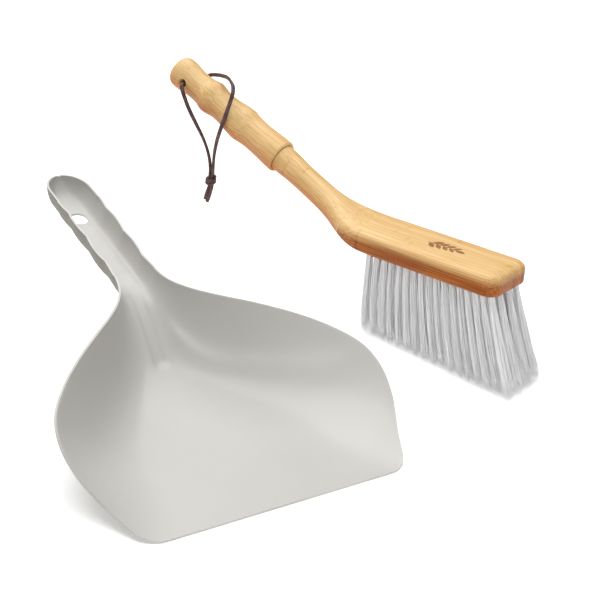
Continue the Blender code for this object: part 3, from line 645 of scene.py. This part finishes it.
# ---- brush head ---------------------------------------------------------------------------------
# A block of the same laminate, shaped like the neck that it is glued to: flat top, softly rounded
# edges, rounded toe.  The tufts stand in its underside, and a plain leaf sprig is burnt into its top.
TOE, TOE_CORNER, TOE_HALF = 79.0, 11.0, 26.0
SPINE_STOP = 17.0                        # mm from the toe where the flat faces' middle line ends
HEAD_START = NECK_HEAD_JOINT + JOINT_HALF
# the outline: two straight sides, two quarter circles and the toe's straight face
straight = np.linspace(HEAD_START, TOE - TOE_CORNER, 130)
straight_half = through(BAR_STATIONS, straight, soften=BAR_SOFT)[:, 1]
corner = np.radians(np.linspace(0, 90, 26))[1:]
face = np.linspace(TOE_HALF - TOE_CORNER, 0, 9)[1:]
edge_along = np.concatenate([straight, TOE - TOE_CORNER + TOE_CORNER * np.sin(corner),
                             np.full(8, TOE)])
edge_across = np.concatenate([straight_half, TOE_HALF - TOE_CORNER + TOE_CORNER * np.cos(corner),
                              face])
out_along = np.concatenate([np.zeros_like(straight), np.sin(corner), np.ones(8)])
out_across = np.concatenate([np.ones_like(straight), np.cos(corner), np.zeros(8)])
edge_along, out_along = [np.concatenate([a, a[-2::-1]]) for a in (edge_along, out_along)]
edge_across, out_across = [np.concatenate([a, -a[-2::-1]]) for a in (edge_across, out_across)]
# the half section is carried round the outline, its inset taken square to the outline; the flat faces
# reach from the rounded edge to the middle line
bar = through(BAR_STATIONS, np.clip(edge_along, HEAD_START, TOE), soften=BAR_SOFT)
out, pulled, height = bar_profile(bar, v)
inset = bar[:, 3, None]
spine = np.minimum(edge_along, TOE - SPINE_STOP)[:, None]
shift = np.where(flat_part, inset, pulled)
rim_along = edge_along[:, None] - out_along[:, None] * shift
rim_across = edge_across[:, None] - out_across[:, None] * shift
along = np.where(flat_part, spine + (rim_along - spine) * out, rim_along)
across_head = np.where(flat_part, rim_across * out, rim_across)
axis_height = through(BAR_STATIONS, np.clip(along, HEAD_START, TOE).ravel(), soften=BAR_SOFT)[:, 0]
grid = bend(along, across_head, height, axis_height.reshape(along.shape))
head = skin("head_block_bamboo", grid, head_wood)
edit = bmesh.new()
edit.from_mesh(head.data)
bmesh.ops.holes_fill(edit, edges=[e for e in edit.edges if e.is_boundary])
bmesh.ops.recalc_face_normals(edit, faces=edit.faces)
edit.to_mesh(head.data)
edit.free()
dowel_bore(head, neck_joint, joint_axis, HEAD_DOWEL_HALF)
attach(head, "brush")
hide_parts("head_block")

# scorched_bamboo: the plain leaf sprig burnt into the top face; the charred fibre is brown and matt,
# blotched over about 1.5 mm
scorch, tree, shader = new_material("scorched_bamboo")
place = add(tree, "TexCoord", {}).outputs["Object"]
char = add(tree, "TexNoise", {"Scale": 1 / (1.5 * MM), "Detail": 3.0}, [("Vector", place)])
tree.links.new(ramp(tree, char.outputs["Fac"], [(0.35, "#7d4c28"), (0.7, "#a87040")]),
               shader.inputs["Base Color"])
shader.inputs["Roughness"].default_value = 0.7
SPRIG_START, SPRIG_END, SPRIG_SIDE = 3.0, 37.0, -3.0    # mm along and across the head
SPRIG_LIFT, STEM_BOW = 0.06, 1.6         # mm above the top face; how far the stem bows
LEAF_LONG, LEAF_WIDE = 9.6, 2.2          # length and half width of a leaf
LEAF_FEET = (6.0, 12.0, 18.0, 24.0)      # where the pairs of leaves stand
LEAF_SPREAD = 0.8                        # radians from the stem


def stem_bow(along):
    """How far the stem stands to the side: STEM_BOW times half a wave of the sine over the sprig."""
    return STEM_BOW * np.sin(np.pi * (along - SPRIG_START) / (SPRIG_END - SPRIG_START))


def leaf(start_along, turn, length):
    """Pointed leaf on the stem: half width LEAF_WIDE sin(pi s)^0.8 along s from its foot to its tip."""
    s = np.linspace(0, 1, 17)
    half = LEAF_WIDE * length / LEAF_LONG * np.sin(np.pi * s) ** 0.8
    own = np.concatenate([np.column_stack([s * length, half]),
                          np.column_stack([s * length, -half])[-2:0:-1]])
    about = np.array(((np.cos(turn), np.sin(turn)), (-np.sin(turn), np.cos(turn))))
    return own @ about + (start_along, SPRIG_SIDE + stem_bow(start_along))


stem_along = np.linspace(SPRIG_START, SPRIG_END - LEAF_LONG, 24)
stem_half = np.linspace(0.5, 0.25, 24)
stem_middle = SPRIG_SIDE + stem_bow(stem_along)
outlines = [np.concatenate([np.column_stack([stem_along, stem_middle + stem_half]),
                            np.column_stack([stem_along, stem_middle - stem_half])[::-1]]),
            leaf(SPRIG_END - LEAF_LONG, -0.1, LEAF_LONG)]
for k, foot in enumerate(LEAF_FEET):
    for side in (-1, 1):
        outlines.append(leaf(foot + side, side * LEAF_SPREAD, LEAF_LONG * (1.05 - 0.08 * k)))
sprig_points, sprig_faces = [], []
for outline in outlines:
    first = len(sprig_points)
    sprig_points += in_head(np.column_stack([outline, np.full(len(outline), SPRIG_LIFT)])).tolist()
    sprig_faces.append(list(range(first, first + len(outline))))
mesh = bpy.data.meshes.new("leaf_sprig")
mesh.from_pydata(sprig_points, [], sprig_faces)
mesh.materials.append(scorch)
sprig = bpy.data.objects.new("leaf_sprig", mesh)
bpy.context.scene.collection.objects.link(sprig)
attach(sprig, "brush")

# ---- bristle tufts ------------------------------------------------------------------------------
# Flagged nylon filaments folded over a staple in each hole, 17 columns of 4 tufts.  The tufts fan out
# towards the toe; trimmed level, they are slightly ragged, with a few stray filaments.
COLUMNS = 17
ROOT_FIRST, ROOT_LAST = -40.0, 72.0      # first and last column, mm along the head
TIP_FIRST, TIP_LAST = -28.5, 107.0       # the same at the floor, mm along HEADING
ROOT_ROWS = (-17.4, -6.2, 6.2, 17.4)
TIP_ROWS = (-19.6, -6.9, 6.9, 19.6)
ROOT_R, TIP_HALF = 2.6, (3.5, 6.4)       # a tuft's radius at its hole, its half sizes at the tips
HEAD_THICKNESS, ROOT_DEPTH = 19.0, 6.0   # the filaments go this far into the head
PER_TUFT, FILAMENT = 130, 0.5            # filaments drawn for a tuft, and their diameter, mm
THINNING = (1.0, 1.0, 1.0, 0.95, 0.8)    # share of the diameter left at each ring
TIP_RISE, TIP_WANDER = 2.4, 0.45         # mm, spread of the tips' height and place
STRAYS, STRAY_WANDER = 0.03, 1.8         # share of stray filaments, and how far they stray
BOW, BOW_SPREAD = 1.5, 0.35              # mm, how far a filament bows towards the grip
UNDER_HEAD = np.array((HEAD_AT[0], HEAD_AT[1], 0.0))
chance = np.random.default_rng(41)

# bristle_nylon: drawn nylon, natural grey-white; slightly translucent, satin, each filament its own tone
nylon, tree, shader = new_material("bristle_nylon")
tone = add(tree, "Attribute", {"attribute_name": "tone"}).outputs["Fac"]
tree.links.new(ramp(tree, tone, [(0.0, "#eaebed"), (0.5, "#f5f5f6"), (1.0, "#fcfcfc")]),
               shader.inputs["Base Color"])
shader.inputs["Roughness"].default_value = 0.42
shader.inputs["IOR"].default_value = 1.53


def filaments(name, column, row, material):
    """Filaments of two neighbouring tufts: from a disc at the root to a flared ellipse at the tip,
    root + (tip - root) t, bowed by the parabola 4 BOW t (1 - t), three-sided and ending in a point."""
    parts, tones = [], []
    for k in (row, row + 1):
        share = column / (COLUMNS - 1)
        radius = np.sqrt(chance.random(PER_TUFT))
        turn = chance.random(PER_TUFT) * 2 * np.pi
        disc = np.stack([radius * np.cos(turn), radius * np.sin(turn)], 1)
        root = np.array((ROOT_FIRST + (ROOT_LAST - ROOT_FIRST) * share, ROOT_ROWS[k]))
        root = np.column_stack([root + disc * ROOT_R, np.full(PER_TUFT, -HEAD_THICKNESS)])
        root = in_head(root)
        jitter = chance.normal(0, TIP_WANDER, (PER_TUFT, 2))
        tip = np.array((TIP_FIRST + (TIP_LAST - TIP_FIRST) * share, TIP_ROWS[k]))
        tip = tip + disc * TIP_HALF + jitter
        rise = 0.3 + np.abs(chance.normal(0, TIP_RISE, PER_TUFT))
        stray = chance.random(PER_TUFT) < STRAYS
        tip[stray] += chance.normal(0, STRAY_WANDER, (stray.sum(), 2))
        tip = UNDER_HEAD + (tip[:, :1] * HEADING + tip[:, 1:] * SIDE) * MM + rise[:, None] * UP * MM
        above = root + up_axis * ROOT_DEPTH * MM
        t = np.array((0.0, 0.3, 0.62, 0.86, 1.0))[None, :, None]
        # the tuft's middle goes straight from root to tip, and the filaments spread from it a little early
        middle_root, middle_tip = root.mean(0), tip.mean(0)
        from_root, from_tip = root - middle_root, tip - middle_tip
        spread = from_root[:, None] + (from_tip - from_root)[:, None] * t**0.95
        way = middle_root + (middle_tip - middle_root) * t + spread
        bow = (BOW + chance.normal(0, BOW_SPREAD, (PER_TUFT, 1, 1))) * 4 * t * (1 - t)
        way = way - bow * HEADING * MM + chance.normal(0, 0.12 * MM, way.shape) * t
        way = np.concatenate([above[:, None], way], axis=1)
        parts.append(way)
        tones.append(np.clip(0.5 + chance.normal(0, 0.22, PER_TUFT) + chance.normal(0, 0.06), 0, 1))
    way = np.concatenate(parts)
    tones = np.concatenate(tones)
    count, stations = way.shape[:2]
    around = np.radians((0, 120, 240)) + chance.random((count, 1)) * 2.1
    ring = (np.cos(around)[:, None, :, None] * HEADING + np.sin(around)[:, None, :, None] * SIDE)
    ring_radius = FILAMENT / 2 * MM * np.array(THINNING)
    rings = way[:, :-1, None, :] + ring * ring_radius[None, :, None, None]
    points = np.concatenate([rings.reshape(count, -1, 3), way[:, -1:, :]], axis=1)
    per = points.shape[1]
    faces = []
    for s in range(stations - 2):
        for c in range(3):
            d = (c + 1) % 3
            faces.append((3 * s + c, 3 * s + 3 + c, 3 * s + 3 + d))
            faces.append((3 * s + c, 3 * s + 3 + d, 3 * s + d))
    last = 3 * (stations - 2)
    faces += [(last + c, per - 1, last + (c + 1) % 3) for c in range(3)] + [(0, 1, 2)]
    faces = (np.arange(count)[:, None, None] * per + np.array(faces)[None]).reshape(-1, 3)
    mesh = bpy.data.meshes.new(name)
    mesh.from_pydata(points.reshape(-1, 3).tolist(), [], faces.tolist())
    mesh.attributes.new("tone", "FLOAT", "POINT").data.foreach_set("value", np.repeat(tones, per))
    mesh.materials.append(material)
    mesh.shade_smooth()
    made = bpy.data.objects.new(name, mesh)
    bpy.context.scene.collection.objects.link(made)
    return made


for column in range(COLUMNS):
    for row, side in ((0, "near"), (2, "far")):
        bristles = filaments(f"bristles_{side}_{column + 1:02d}", column, row, nylon)
        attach(bristles, "brush")
        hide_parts(f"tufts_{side}_{column + 1:02d}")

# ---- floor and light ----------------------------------------------------------------------------
# A white light table, glowing a little so that shadows stay faint; one wide soft light overhead and
# behind, a weak frontal fill, and a soft spot on the brush and on the right half of the dustpan.
floor_paint, tree, shader = new_material("studio_floor")
shader.inputs["Base Color"].default_value = linear("#f4f4f3")
shader.inputs["Roughness"].default_value = 0.9
shader.inputs["Specular IOR Level"].default_value = 0.1
shader.inputs["Emission Color"].default_value = (1, 1, 1, 1)
shader.inputs["Emission Strength"].default_value = 0.3
bpy.ops.mesh.primitive_plane_add(size=14.0)
studio_floor = bpy.context.active_object
studio_floor.name = "studio_floor"
studio_floor.data.materials.append(floor_paint)


def soft_light(name, place, aim, size, watts):
    """Soft box of the given size in metres, standing at place and turned to aim."""
    lamp = bpy.data.lights.new(name, "AREA")
    lamp.shape = "RECTANGLE"
    lamp.size, lamp.size_y = size
    lamp.energy = watts
    made = bpy.data.objects.new(name, lamp)
    bpy.context.scene.collection.objects.link(made)
    made.location = place
    made.rotation_euler = (Vector(aim) - Vector(place)).to_track_quat("-Z", "Y").to_euler()


SET_MIDDLE = (0, 0, 0.05)
SPOT_AT, SPOT_AIM = Vector((-0.95, -1.2, 0.85)), Vector((0.16, -0.10, 0.04))
soft_light("overhead", (0.0, 0.62, 1.88), SET_MIDDLE, (2.3, 2.3), 56)
soft_light("fill", (0.9, -1.7, 1.0), SET_MIDDLE, (1.4, 1.4), 4)
spot = bpy.data.objects.new("brush_spot", bpy.data.lights.new("brush_spot", "SPOT"))
spot.data.energy = 85
spot.data.spot_size = np.radians(18)
spot.data.spot_blend = 1.0
spot.data.shadow_soft_size = 0.3
spot.location = SPOT_AT
spot.rotation_euler = (SPOT_AIM - SPOT_AT).to_track_quat("-Z", "Y").to_euler()
bpy.context.scene.collection.objects.link(spot)
sky = bpy.data.worlds.new("studio")
bpy.context.scene.world = sky
sky.use_nodes = True
background = sky.node_tree.nodes["Background"]
background.inputs["Color"].default_value = (1, 1, 1, 1)
background.inputs["Strength"].default_value = 0.24
bpy.context.scene.view_settings.view_transform = "Standard"
